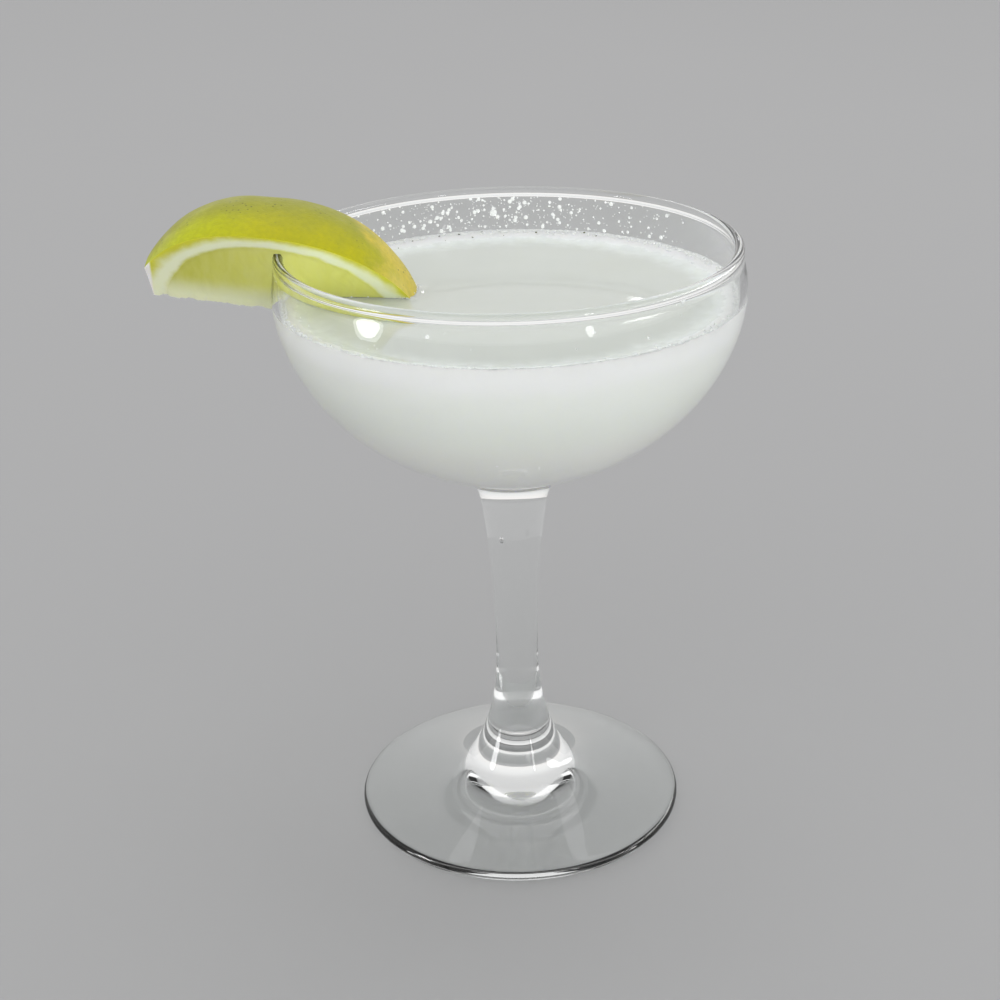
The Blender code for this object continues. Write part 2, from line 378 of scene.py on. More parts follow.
def glass_outline():
    """The whole glass in one line: foot, stem, the bowl's outside, the rim and the bowl's inside."""
    steps = range(HOLLOW_STEPS + 1)
    hollow = [(FOOT_RING * i / HOLLOW_STEPS, FOOT_HOLLOW * (1 - (i / HOLLOW_STEPS) ** 2)) for i in steps]
    edge = arc((FOOT_RADIUS - FOOT_EDGE, FOOT_EDGE), FOOT_EDGE, start=-90, end=78, count=16)
    foot = hollow + edge + bezier(edge[-1], *FOOT_HANDLES, (STEM_FOOT_RADIUS, STEM_FOOT), count=30)
    shaft = [STEM_FOOT + (STEM_TOP - STEM_FOOT) * i / STEM_STEPS for i in range(1, STEM_STEPS + 1)]
    stem = [(stem_radius(z), z) for z in shaft]
    stem += bezier(stem[-1], *FILLET_HANDLES, (bowl_radius(FILLET_TOP), FILLET_TOP), count=14)
    outside = bowl_curve(FILLET_TOP, BOWL_WIDEST)[1:]
    lip = [BOWL_WIDEST + LIP_STEP * i for i in range(1, LIP_STEPS + 1)]
    outer_lip = [(bowl_radius(z), z) for z in lip]
    bead = (RIM_RADIUS - BEAD_RADIUS, GLASS_HEIGHT - BEAD_RADIUS)
    rim = arc(bead, BEAD_RADIUS, start=-35, end=230, count=22)
    inner_lip = [(bowl_radius(z, WALL, BOWL_FLOOR), z) for z in reversed(lip)]
    inside = bowl_curve(BOWL_BOTTOM + BOWL_FLOOR, BOWL_WIDEST, WALL, BOWL_FLOOR)
    return foot + stem + outside + outer_lip + rim + inner_lip + inside[::-1]


print("outline of the glass:", len(glass_outline()), "points")

# %% [markdown]
# The spin operator turns such an outline into a closed body. The outline could also go on a Screw modifier,
# but a spin leaves a plain mesh, and merging its full turn welds the seam. The points on the axis come out
# once for each step, so they are merged too, and then the faces are turned to point outwards.

# %% Spin an outline
MERGE = 1e-7


def spun(outline, steps):
    """A closed bmesh from an outline that starts and ends on the axis."""
    bm = bmesh.new()
    points = [bm.verts.new((r, 0.0, z)) for r, z in outline]
    edges = [bm.edges.new(pair) for pair in zip(points, points[1:])]
    bmesh.ops.spin(
        bm, geom=points + edges, cent=(0, 0, 0), axis=(0, 0, 1), angle=math.tau, steps=steps, use_merge=True
    )
    bmesh.ops.remove_doubles(bm, verts=bm.verts, dist=MERGE)
    bmesh.ops.recalc_face_normals(bm, faces=bm.faces)
    return bm


# %% [markdown]
# Clear glass is the Principled shader with full transmission and the real bend of light, 1.5. Its roughness
# is not quite nothing everywhere: fingers and drying water leave faint smudges. Pressed glass is also a
# little wavy. A shadow ray would take clear glass for a wall and leave the drink in the dark, so for those
# rays alone the material is see-through.

# %% Clear glass
GLASS_IOR = 1.5
GLASS_TINT = (0.985, 0.995, 0.990, 1.0)
SHADOW_TINT = (0.90, 0.92, 0.91, 1.0)

glass, tree, shader = start_material(
    "clear_glass", Base_Color=GLASS_TINT, Transmission_Weight=1.0, IOR=GLASS_IOR, Metallic=0.0
)
place = object_place(tree)
smudges = use_group(tree, mottle, Vector=place, Scale=45.0, Low=0.0, High=0.012)
wavy = use_group(tree, grain, Vector=place, Scale=55.0, Depth=0.05 * MM)
tree.links.new(smudges, shader.inputs["Roughness"])
tree.links.new(wavy, shader.inputs["Normal"])
see_through = add_node(tree, "ShaderNodeBsdfTransparent", {"Color": SHADOW_TINT}).outputs[0]
shadow_ray = add_node(tree, "ShaderNodeLightPath").outputs["Is Shadow Ray"]
either = add_node(tree, "ShaderNodeMixShader", {0: shadow_ray, 1: shader.outputs[0], 2: see_through})
tree.links.new(either.outputs[0], tree.nodes["Material Output"].inputs["Surface"])

glass_piece = into_scene(spun(glass_outline(), 192), "clear_coupe", glass)
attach(glass_piece, "root")
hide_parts("coupe_glass")

# %% [markdown]
# One bubble of air was caught in the stem when the glass was made. It is an ellipsoid stretched along the
# stem. Light goes from glass into air there, so the bend is the other way round: one over that of glass.

# %% Bubble in the stem
SEED_PLACE = (-1.8 * MM, 0.0, 64.4 * MM)
SEED_SIZE = (0.32 * MM, 0.32 * MM, 0.75 * MM)

air, tree, shader = start_material("trapped_air", Transmission_Weight=1.0, Metallic=0.0, IOR=1 / GLASS_IOR)
dull = use_group(tree, mottle, Vector=object_place(tree), Scale=2000.0, Low=0.0, High=0.02)
tree.links.new(dull, shader.inputs["Roughness"])
bm = bmesh.new()
bmesh.ops.create_icosphere(bm, subdivisions=4, radius=1.0)
bmesh.ops.scale(bm, vec=SEED_SIZE, verts=bm.verts)
bmesh.ops.translate(bm, vec=SEED_PLACE, verts=bm.verts)
seed_bubble = into_scene(bm, "stem_bubble", air)
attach(seed_bubble, "root")

# %% [markdown]
# The lime was cut lengthwise into wedges. A wedge is a slice of the whole fruit about its core, so its mesh
# can be made as the knife made it: one cut face is a grid from core to peel, and a spin about the core
# sweeps it to the other cut face. The peel is what the grid's outer edge sweeps. The grid is given the
# fruit's outline by moving its points, and the fine relief comes after, while every point's place in the
# fruit is still easy to name.

# %% The wedge's form
TIP_LENGTH = 31.1 * MM
TIP_FALL = 2.15
STEM_END_LENGTH = 29.1 * MM
STEM_END_FALL = 2.66
LIME_RADIUS = 22.9 * MM
LIME_ROUND = 1.60
STEM_END_TRIM = 2.6 * MM
STEM_END_SLANT = 1.1 * MM
WEDGE_ANGLE = math.radians(64)
WEDGE_CENTRE = (-48.1 * MM, 5.7 * MM, 114.2 * MM)
WEDGE_TURN = (math.radians(3.3), math.radians(7.9), math.radians(-1.8))
WEDGE_PLACE = Matrix.Translation(WEDGE_CENTRE) @ Euler(WEDGE_TURN).to_matrix().to_4x4()
WEDGE_BACK = WEDGE_PLACE.inverted()


def lime_radius(x):
    """The whole lime's radius along its length: an oval, blunt at the stem end and pointed at the tip."""
    length, fall = (TIP_LENGTH, TIP_FALL) if x > 0 else (STEM_END_LENGTH, STEM_END_FALL)
    return LIME_RADIUS * max(0.0, 1 - abs(x / length) ** fall) ** (1 / LIME_ROUND)


def wedge_form(along, deep, across, shrink=0.0):
    """The wedge about its own core: X along the lime, the peel up. Shrink moves each face that far in."""
    bm = bmesh.new()
    bmesh.ops.create_grid(bm, x_segments=along, y_segments=deep, size=1.0)
    lift = shrink / math.sin(WEDGE_ANGLE / 2)
    for vert in bm.verts:
        depth = (vert.co.y + 1) / 2
        way = 1 - ((1 - vert.co.x) / 2) ** LIME_ROUND
        low = -STEM_END_LENGTH + STEM_END_TRIM + STEM_END_SLANT * (1 - depth)
        x = low + (TIP_LENGTH - low) * way
        vert.co = (x, 0.0, max(0.0, lime_radius(x) - shrink - lift) * depth)
    bmesh.ops.transform(bm, matrix=Matrix.Rotation(-WEDGE_ANGLE / 2, 4, "X"), verts=bm.verts)
    bmesh.ops.spin(
        bm, geom=bm.verts[:] + bm.edges[:] + bm.faces[:], cent=(0, 0, 0), axis=(1, 0, 0), angle=WEDGE_ANGLE,
        steps=across
    )
    bmesh.ops.remove_doubles(bm, verts=bm.verts, dist=MERGE)
    bmesh.ops.dissolve_degenerate(bm, edges=bm.edges, dist=MERGE)
    bmesh.ops.recalc_face_normals(bm, faces=bm.faces)
    bmesh.ops.translate(bm, vec=(0, 0, lift), verts=bm.verts)
    return bm


print("the whole lime is %.1f mm thick" % (2 * LIME_RADIUS / MM))

# %% [markdown]
# Peel, pith and flesh lie in each other like shells, so one number tells them apart: how deep a point is
# below the peel. The flesh is a smaller oval in the lime's own, drawn in most at the two ends, and a point
# between the two ovals is given its share of the pith. The peel's faces are marked by it before the relief
# moves them, while their points still lie exactly on the outer oval.

# %% Depth below the peel
PITH_DEPTH = 3.1 * MM
PITH_AT_TIP = 5.5 * MM
PITH_AT_STEM = 6.2 * MM
ON_PEEL = 0.02 * MM


def oval(point, side=0.0, tip_end=0.0, stem_end=0.0):
    """Below 1 inside the lime's oval and 1 on it; it may be drawn in at its side and its two ends."""
    if point.x > 0:
        length, fall = TIP_LENGTH - tip_end, TIP_FALL
    else:
        length, fall = STEM_END_LENGTH - stem_end, STEM_END_FALL
    across = math.hypot(point.y, point.z) / (LIME_RADIUS - side)
    return abs(point.x / length) ** fall + across ** LIME_ROUND


def below_peel(point):
    """How deep a point of the wedge is: nothing on the peel, and PITH_DEPTH where the flesh begins."""
    skin = 1 - oval(point)
    meat = 1 - oval(point, PITH_DEPTH, PITH_AT_TIP, PITH_AT_STEM)
    if meat > 0:
        return PITH_DEPTH + meat * LIME_RADIUS / LIME_ROUND
    return PITH_DEPTH * skin / (skin - meat)


def mark_peel(bm):
    """The peel's faces take the first material, and the cut faces the second."""
    for face in bm.faces:
        face.material_index = 0 if all(below_peel(vert.co) < ON_PEEL for vert in face.verts) else 1


print("pith: %.1f mm thick, %.1f mm at the tip" % (PITH_DEPTH / MM, PITH_AT_TIP / MM))

# %% [markdown]
# The relief has three parts. The peel is lumpy at the size of a fingertip and pitted with oil pores, each
# under a millimetre. The flesh is a pack of juice sacs, long and thin, that point from the peel to the core,
# and the knife leaves them as low ridges. Along the core the knife tore the thin skins, so that edge is
# ragged. All of it fades out where the rows of points come close together, because deep relief there could
# make the mesh cross itself.

# %% The wedge's relief
LUMP_DEPTH = 0.16 * MM
LUMP_SIZE = 7.0 * MM
PORE_DEPTH = 0.07 * MM
PORE_SIZE = 0.95 * MM
PORE_REACH = 0.45
SAC_DEPTH = 0.22 * MM
SAC_WIDTH = 1.9 * MM
SAC_LENGTH = 8.0 * MM
SAC_LEAN = 0.35
SAC_WOBBLE = 0.8
SAC_WOBBLE_SIZE = 3.2 * MM
CUTS_APART = 3.0
FLESH_SUNK = 0.12 * MM
FLESH_STEP = 1.2 * MM
CUT_MARGIN = 0.01
CORE_RAGGED = 0.7 * MM
CORE_EDGE = 2.2 * MM
TEAR_SIZE = 2.4 * MM
TEAR_ROW = 5.0
TEAR_LEVEL = 0.2
SHRED_SIZE = 0.8 * MM
SHRED_ROW = 9.0
SHRED_SHARE = 0.4
RELIEF_FADE = 12.0 * MM


def peel_relief(point):
    """Low lumps and oil pores."""
    lump = noise.noise(point / LUMP_SIZE) * LUMP_DEPTH
    nearest = noise.voronoi(point / PORE_SIZE)[0][0]
    return lump - PORE_DEPTH * max(0.0, 1 - nearest / PORE_REACH) ** 2


def flesh_relief(point, from_core):
    """Ridges of juice sacs that run from the core to the peel, gone in the pith."""
    along = (point.x + SAC_LEAN * from_core) / SAC_WIDTH
    where = Vector((along, from_core / SAC_LENGTH, math.copysign(CUTS_APART, point.y)))
    wobble = noise.noise(point / SAC_WOBBLE_SIZE) * SAC_WOBBLE
    sacs = abs(noise.noise(where + Vector((wobble, 0.0, 0.0))))
    inside = min(1.0, max(0.0, (below_peel(point) - PITH_DEPTH) / FLESH_STEP))
    return (sacs - 0.5) * SAC_DEPTH * inside - FLESH_SUNK * inside


def core_lift(point, from_core):
    """How far the torn edge of the core is lifted."""
    tear = max(0.0, noise.noise(Vector((point.x / TEAR_SIZE, TEAR_ROW, 0.0))) + TEAR_LEVEL)
    shreds = noise.noise(Vector((point.x / SHRED_SIZE, SHRED_ROW, 0.0)))
    near = max(0.0, 1 - from_core / CORE_EDGE)
    fade = min(1.0, lime_radius(point.x) / RELIEF_FADE)
    return CORE_RAGGED * (tear + SHRED_SHARE * shreds) * near * fade


def shape_wedge(bm):
    """Moves every point of the wedge in or out by the relief of the skin that it is on."""
    bm.normal_update()
    moves = []
    for vert in bm.verts:
        point = vert.co.copy()
        from_core = math.hypot(point.y, point.z)
        slant = abs(math.atan2(point.y, point.z)) if from_core > MERGE else 0.0
        if below_peel(point) < ON_PEEL:
            outward = Vector((0.0, point.y, point.z)).normalized()
            move = outward * peel_relief(point) * min(1.0, from_core / RELIEF_FADE)
        elif slant > WEDGE_ANGLE / 2 - CUT_MARGIN:
            move = vert.normal * flesh_relief(point, from_core) * min(1.0, from_core / CORE_EDGE)
        else:
            move = Vector()
        moves.append(move + Vector((0.0, 0.0, core_lift(point, from_core))))
    for vert, move in zip(bm.verts, moves):
        vert.co += move


# %% [markdown]
# The bartender cut a slit from the core up into the flesh and pushed the wedge onto the rim. The slit is
# made with a Boolean, and the cutter is the glass's own wall, a hair thicker, spun over the arc that the
# wedge spans.

# %% The slit
SLIT_GAP = 0.06 * MM
SLIT_ABOVE_RIM = 0.12 * MM
SLIT_DEPTH = 22 * MM
SLIT_CROWN = 0.6
SLIT_FROM = math.radians(150)
SLIT_TO = math.radians(210)
SLIT_ROWS = 10
SLIT_STEPS = 36


def slit_form():
    """A stretch of the bowl's wall and bead, a gap wider on every side."""
    bead = RIM_RADIUS - BEAD_RADIUS
    shoulder = GLASS_HEIGHT - BEAD_RADIUS
    top = GLASS_HEIGHT + SLIT_ABOVE_RIM
    half = BEAD_RADIUS + SLIT_GAP
    low = GLASS_HEIGHT - SLIT_DEPTH
    heights = [low + (SLIT_DEPTH - 2 * BEAD_RADIUS) * i / SLIT_ROWS for i in range(SLIT_ROWS + 1)]
    outer = [(bowl_radius(z) + SLIT_GAP, z) for z in heights]
    inner = [(bowl_radius(z, WALL, BOWL_FLOOR) - SLIT_GAP, z) for z in reversed(heights)]
    over = [(bead + half, shoulder), (bead + half * SLIT_CROWN, top), (bead - half * SLIT_CROWN, top)]
    over.append((bead - half, shoulder))
    bm = bmesh.new()
    face = bm.faces.new([bm.verts.new((r, 0.0, z)) for r, z in outer + over + inner])
    bmesh.ops.rotate(bm, cent=(0, 0, 0), matrix=Matrix.Rotation(SLIT_FROM, 3, "Z"), verts=bm.verts)
    bmesh.ops.spin(
        bm, geom=[face] + face.edges[:] + face.verts[:], cent=(0, 0, 0), axis=(0, 0, 1),
        angle=SLIT_TO - SLIT_FROM, steps=SLIT_STEPS
    )
    bmesh.ops.recalc_face_normals(bm, faces=bm.faces)
    for face in bm.faces:
        face.material_index = 1
    return bm


def carve(thing, cutter):
    """Takes the cutter out of a piece, keeps the result as its mesh and removes the cutter."""
    boolean = thing.modifiers.new("carve", "BOOLEAN")
    boolean.operation = "DIFFERENCE"
    boolean.object = cutter
    evaluated = thing.evaluated_get(bpy.context.evaluated_depsgraph_get())
    carved = bpy.data.meshes.new_from_object(evaluated)
    thing.modifiers.remove(boolean)
    old = thing.data
    thing.data = carved
    carved.name = thing.name
    bpy.data.meshes.remove(old)
    bpy.data.objects.remove(cutter)
    print(thing.name, "after carving:", len(carved.polygons), "faces")


# %% [markdown]
# A lime's skin is waxy and pored, yellow-green where it hung in the shade and browned to orange where it
# touched a neighbour. Its colour is built in layers in the fruit's own directions, so a mapping node turns
# the pattern to the wedge's tilt: green towards the stem end, then a painted sheen over the side that faces
# away, which stands for the room's pale reflection there, orange at the tip, then fine grit and a few dark
# specks.

# %% Peel
ZEST = (0.490, 0.460, 0.004)
ZEST_SHADE = (0.390, 0.385, 0.008)
PEEL_GREEN = (0.560, 0.610, 0.012)
PEEL_PAINTED_SHEEN = (0.370, 0.370, 0.038)
PEEL_BROWN = (0.660, 0.530, 0.055)
PEEL_DOTS = (0.110, 0.120, 0.030)
PEEL_GRIT = (0.250, 0.260, 0.020)
GREEN_OVER = (2 * MM, -24 * MM)
PAINTED_SHEEN_OVER = (-10 * MM, 1 * MM)
BROWN_OVER = (13 * MM, 23 * MM)
BROWN_LEAN = 0.8
PORE_BUMP = 0.05 * MM


def fruit_place(tree):
    """Where a point is in the lime's own directions: X along it, Z from the core to the peel's middle."""
    sockets = {"Vector": object_place(tree), "Location": WEDGE_CENTRE, "Rotation": WEDGE_TURN}
    return add_node(tree, "ShaderNodeMapping", sockets, vector_type="TEXTURE").outputs[0]


peel, tree, shader = start_material("lime_peel", IOR=1.45, Metallic=0.0, Specular_IOR_Level=0.22)
place = fruit_place(tree)
parts = add_node(tree, "ShaderNodeSeparateXYZ", {0: place}).outputs
broad = use_group(tree, mottle, Vector=place, Scale=70.0, Low=0.0, High=1.0)
fine = use_group(tree, mottle, Vector=place, Scale=900.0, Low=0.0, High=1.0)
uneven = use_group(tree, mottle, Vector=place, Scale=160.0, Low=-3 * MM, High=3 * MM)
across = add_values(tree, parts["Y"], uneven)
along = add_values(tree, parts["X"], uneven)
leaning = add_node(tree, "ShaderNodeMath", {0: across, 1: BROWN_LEAN, 2: along}, operation="MULTIPLY_ADD")
to_back = ramp(tree, across, *PAINTED_SHEEN_OVER)
colour = blend_colours(tree, broad, ZEST, ZEST_SHADE)
colour = blend_colours(tree, ramp(tree, parts["X"], *GREEN_OVER), colour, PEEL_GREEN)
# Painted sheen: the pale reflection of the room on the side that faces away is painted into the colour.
colour = blend_colours(tree, to_back, colour, PEEL_PAINTED_SHEEN)
colour = blend_colours(tree, ramp(tree, leaning.outputs[0], *BROWN_OVER), colour, PEEL_BROWN)
colour = blend_colours(tree, ramp(tree, fine, 0.0, 1.0, 0.0, 0.22), colour, PEEL_GRIT)
specks = add_node(tree, "ShaderNodeTexVoronoi", {"Vector": place, "Scale": 900.0}).outputs["Distance"]
scarce = use_group(tree, mottle, Vector=place, Scale=170.0, Low=-0.9, High=1.5)
dots = add_node(tree, "ShaderNodeMath", {0: ramp(tree, specks, 0.28, 0.12), 1: scarce}, operation="MULTIPLY")
strength = ramp(tree, to_back, 0.0, 0.8, 0.1, 0.8)
colour = blend_colours(tree, ramp(tree, dots.outputs[0], 0.2, 0.8, 0.0, strength), colour, PEEL_DOTS)
tree.links.new(colour, shader.inputs["Base Color"])
waxy = use_group(tree, mottle, Vector=place, Scale=300.0, Low=0.36, High=0.50)
tree.links.new(waxy, shader.inputs["Roughness"])
pores = add_node(tree, "ShaderNodeTexVoronoi", {"Vector": place, "Scale": 1500.0}).outputs["Distance"]
sockets = {"Height": ramp(tree, pores, 0.0, 0.5), "Distance": PORE_BUMP, "Strength": 0.7}
tree.links.new(add_node(tree, "ShaderNodeBump", sockets).outputs["Normal"], shader.inputs["Normal"])
print("peel:", len(tree.nodes), "nodes")

# %% [markdown]
# Flesh and pith are one finish. Two numbers stored on the mesh say how far each point is below the peel and
# how far from the core, and the colour runs by them from zest through pith to flesh. Juice sacs let light
# in, so a part of it is scattered inside. The trimmed stem end is dry and almost white.

# %% Flesh
CUT_ZEST = (0.640, 0.630, 0.040)
PITH = (0.860, 0.900, 0.640)
FLESH = (0.740, 0.745, 0.190)
FLESH_LEFT = (0.590, 0.590, 0.085)
FLESH_CORE = (0.840, 0.870, 0.580)
FLESH_STREAK = (0.780, 0.790, 0.300)
TRIMMED = (0.930, 0.900, 0.860)
LEFT_OVER = (4 * MM, -20 * MM)
CORE_OVER = (8.5 * MM, 1 * MM)
PITH_OVER = (3.6 * MM, 2.4 * MM)
ZEST_OVER = (1.7 * MM, 0.0 * MM)
TRIMMED_OVER = (-25.0 * MM, -25.6 * MM)
WET_OVER = (2.8 * MM, 3.8 * MM)
ALONG_SACS = (1.0, 0.28, 0.28)

flesh, tree, shader = start_material(
    "lime_flesh", IOR=1.36, Metallic=0.0, Subsurface_Weight=0.45, Subsurface_Scale=2.5 * MM,
    Subsurface_Radius=(1.0, 0.9, 0.35)
)
place = fruit_place(tree)
along = add_node(tree, "ShaderNodeSeparateXYZ", {0: place}).outputs["X"]
rind = add_node(tree, "ShaderNodeAttribute", attribute_name="below_peel").outputs["Fac"]
core = add_node(tree, "ShaderNodeAttribute", attribute_name="from_core").outputs["Fac"]
uneven = use_group(tree, mottle, Vector=place, Scale=260.0, Low=-0.35 * MM, High=0.35 * MM)
rind = add_values(tree, rind, uneven)
stretched = add_node(tree, "ShaderNodeMapping", {"Vector": place, "Scale": ALONG_SACS}).outputs[0]
sacs = use_group(tree, mottle, Vector=stretched, Scale=520.0, Low=0.0, High=1.0)
colour = blend_colours(tree, ramp(tree, along, *LEFT_OVER), FLESH, FLESH_LEFT)
colour = blend_colours(tree, ramp(tree, sacs, 0.0, 1.0, 0.0, 0.25), colour, FLESH_STREAK)
colour = blend_colours(tree, ramp(tree, core, *CORE_OVER), colour, FLESH_CORE)
colour = blend_colours(tree, ramp(tree, rind, *PITH_OVER), colour, PITH)
colour = blend_colours(tree, ramp(tree, rind, *ZEST_OVER), colour, CUT_ZEST)
colour = blend_colours(tree, ramp(tree, along, *TRIMMED_OVER), colour, TRIMMED)
tree.links.new(colour, shader.inputs["Base Color"])
tree.links.new(ramp(tree, rind, *WET_OVER, 0.5, 0.2), shader.inputs["Roughness"])
wet = use_group(tree, grain, Vector=stretched, Scale=900.0, Depth=0.08 * MM)
tree.links.new(wet, shader.inputs["Normal"])
print("flesh:", len(tree.nodes), "nodes")

# %% [markdown]
# Now the wedge is put together: form, material marks, relief, its tilt on the rim, the slit, and at last the
# two numbers for the flesh, which are worked out from where each point ended up in the fruit.

# %% Make the wedge
bm = wedge_form(along=220, deep=40, across=90)
mark_peel(bm)
shape_wedge(bm)
bmesh.ops.transform(bm, matrix=WEDGE_PLACE, verts=bm.verts)
wedge = into_scene(bm, "cut_lime_wedge", peel, flesh)
carve(wedge, into_scene(slit_form(), "slit_cutter", peel, flesh))
depths = wedge.data.attributes.new("below_peel", "FLOAT", "POINT")
cores = wedge.data.attributes.new("from_core", "FLOAT", "POINT")
for vert, depth, from_core in zip(wedge.data.vertices, depths.data, cores.data):
    point = WEDGE_BACK @ vert.co
    depth.value = below_peel(point)
    from_core.value = math.hypot(point.y, point.z)
wedge.data.shade_smooth()
wedge.data.set_sharp_from_angle(angle=math.radians(50))
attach(wedge, "root")
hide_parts("lime_wedge")

# %% [markdown]
# The drink fills the bowl to about a centimetre below the rim. Shaken with ice, it wears a thin collar of
# froth that climbs the wall. Its body reaches a little way into the glass's wall: if it stopped at the wall,
# a film of air would show between them, bright as a mirror, which a real drink doesn't have. Where the wedge
# dips in, the surface creeps up against it.

# %% The drink's form
LEVEL = 117.4 * MM
FROTH_HEIGHT = 1.7 * MM
FROTH_WIDTH = 6.2 * MM
FROTH_HOLLOW = 1.4
FROTH_FILL = 0.94
FROTH_LUMPS = ((0.06, 5 * MM), (0.12, 0.9 * MM))
INTO_WALL = 0.2 * MM
INSET = WALL - INTO_WALL
INNER_FLOOR = BOWL_FLOOR - INTO_WALL
WALL_LINE = bowl_radius(LEVEL + FROTH_HEIGHT, INSET, INNER_FLOOR)
EDGE_RISES = (0.6 * MM, 1.2 * MM)
COLLAR_RINGS = 16
RING_STEP = 0.8 * MM
FINE_RINGS_TO = 16 * MM
MIDDLE_RINGS = 7


def froth_rise(x, y):
    """How high the froth stands above the calm surface, with its lumps."""
    inward = max(0.0, WALL_LINE - math.hypot(x, y))
    if inward >= FROTH_WIDTH:
        return 0.0
    share = (1 - inward / FROTH_WIDTH) ** FROTH_HOLLOW
    where = Vector((x, y, 0.0))
    lumps = sum(depth * noise.noise(where / size) for depth, size in FROTH_LUMPS)
    return FROTH_HEIGHT * share * (FROTH_FILL + lumps)


def drink_outline():
    """The filled bowl, up the froth's edge on the wall, and over the surface to the axis."""
    side = bowl_curve(BOWL_BOTTOM + INNER_FLOOR, LEVEL, INSET, INNER_FLOOR, count=26)
    edge = [(bowl_radius(LEVEL + rise, INSET, INNER_FLOOR), LEVEL + rise) for rise in EDGE_RISES]
    collar = [(WALL_LINE - FROTH_WIDTH * i / COLLAR_RINGS, LEVEL) for i in range(COLLAR_RINGS + 1)]
    radius = WALL_LINE - FROTH_WIDTH - RING_STEP
    calm = []
    while radius > FINE_RINGS_TO:
        calm.append((radius, LEVEL))
        radius -= RING_STEP
    middle = [(FINE_RINGS_TO * i / MIDDLE_RINGS, LEVEL) for i in reversed(range(MIDDLE_RINGS))]
    return side + edge + collar + calm + middle


print("outline of the drink:", len(drink_outline()), "points")

# %% [markdown]
# The surface is shaped on the spun mesh, point by point. The froth is raised and faint ripples are left
# elsewhere. Near the wedge the surface creeps up, by its distance to the nearest place of the wedge's mesh.

# %% The drink's surface
CREEP_HEIGHT = 0.8 * MM
CREEP_WIDTH = 0.9 * MM
CREEP_REACH = 6 * MM
RIPPLE_DEPTH = 0.03 * MM
RIPPLE_SIZE = 9 * MM
FOAM_DEPTH = 0.05 * MM
FOAM_SIZE = 1.6 * MM
FOAM_ROW = 4 * MM
FOAM_WIDTH = 6 * MM


def shape_surface(bm, wedge_tree):
    """Raises the froth, lets the surface creep up the wedge, and leaves faint ripples elsewhere."""
    for vert in bm.verts:
        if not any(face.material_index == 1 for face in vert.link_faces):
            continue
        x, y = vert.co.xy
        ripple = RIPPLE_DEPTH * noise.noise(Vector((x, y, 0.0)) / RIPPLE_SIZE)
        foam = FOAM_DEPTH * max(0.0, noise.noise(Vector((x, y, FOAM_ROW)) / FOAM_SIZE))
        foam *= max(0.0, 1 - (WALL_LINE - math.hypot(x, y)) / FOAM_WIDTH)
        near = wedge_tree.find_nearest(vert.co, CREEP_REACH)[3]
        creep = CREEP_HEIGHT * math.exp(-near / CREEP_WIDTH) if near is not None else 0.0
        vert.co.z = LEVEL + froth_rise(x, y) + ripple + foam + creep


# %% [markdown]
# The cloudiness is lime juice: pulp too fine to see, which scatters the light until the drink looks like
# thin milk with a breath of green. Scattering inside is the shader's subsurface weight. Light wanders far in
# the body, which evens its shading out, and less far at the open surface, which keeps the froth's form. The
# body is whitest just under the froth. Low down its colour is a little lighter, painted light for the less
# light that reaches it there, and the calm surface's colour is darker than the body's, painted shade that
# holds back the stronger light on the open top. The body has no mirror of its own, because there liquid wets
# glass. The surface is glossy, and dull where the froth is.

# %% Drink finishes
BODY = (0.880, 0.910, 0.865)
BODY_LOW_PAINTED_LIGHT = (0.968, 0.985, 0.922)
FROTH = (0.940, 0.985, 0.972)
SHADED_SURFACE = (0.620, 0.650, 0.605)
SHADED_SURFACE_CLOUD = (0.660, 0.690, 0.645)
REACH_BY_COLOUR = (1.0, 1.0, 0.9)
BODY_OVER = (84 * MM, 108 * MM)
WHITEST_OVER = (LEVEL - 5 * MM, LEVEL - 0.5 * MM)
FROTH_OVER = (WALL_LINE - 10 * MM, WALL_LINE - 0.5 * MM)


def cloudy_material(name, reach, **sockets):
    """A scattering liquid: reach is how far light wanders in it, and sockets give its gloss."""
    return start_material(
        name, Subsurface_Weight=1.0, Subsurface_Scale=reach, Subsurface_Radius=REACH_BY_COLOUR, **sockets
    )


body, tree, shader = cloudy_material("drink_in_glass", 25 * MM, Roughness=0.6, Specular_IOR_Level=0.0)
place = object_place(tree)
height = add_node(tree, "ShaderNodeSeparateXYZ", {0: place}).outputs["Z"]
patchy = use_group(tree, mottle, Vector=place, Scale=60.0, Low=-0.6 * MM, High=0.6 * MM)
height = add_values(tree, height, patchy)
# Painted light: the body's colour is made lighter low down, where less light reaches it.
colour = blend_colours(tree, ramp(tree, height, *BODY_OVER), BODY_LOW_PAINTED_LIGHT, BODY)
colour = blend_colours(tree, ramp(tree, height, *WHITEST_OVER), colour, FROTH)
tree.links.new(colour, shader.inputs["Base Color"])

top, tree, shader = cloudy_material("drink_surface", 5 * MM, IOR=1.34)
place = object_place(tree)
flat = add_node(tree, "ShaderNodeVectorMath", {0: place, 1: (1, 1, 0)}, operation="MULTIPLY").outputs[0]
radius = add_node(tree, "ShaderNodeVectorMath", {0: flat}, operation="LENGTH").outputs["Value"]
patchy = use_group(tree, mottle, Vector=place, Scale=420.0, Low=-0.8 * MM, High=0.8 * MM)
foamy = ramp(tree, add_values(tree, radius, patchy), *FROTH_OVER)
streaks = use_group(tree, mottle, Vector=place, Scale=110.0, Low=0.0, High=0.3)
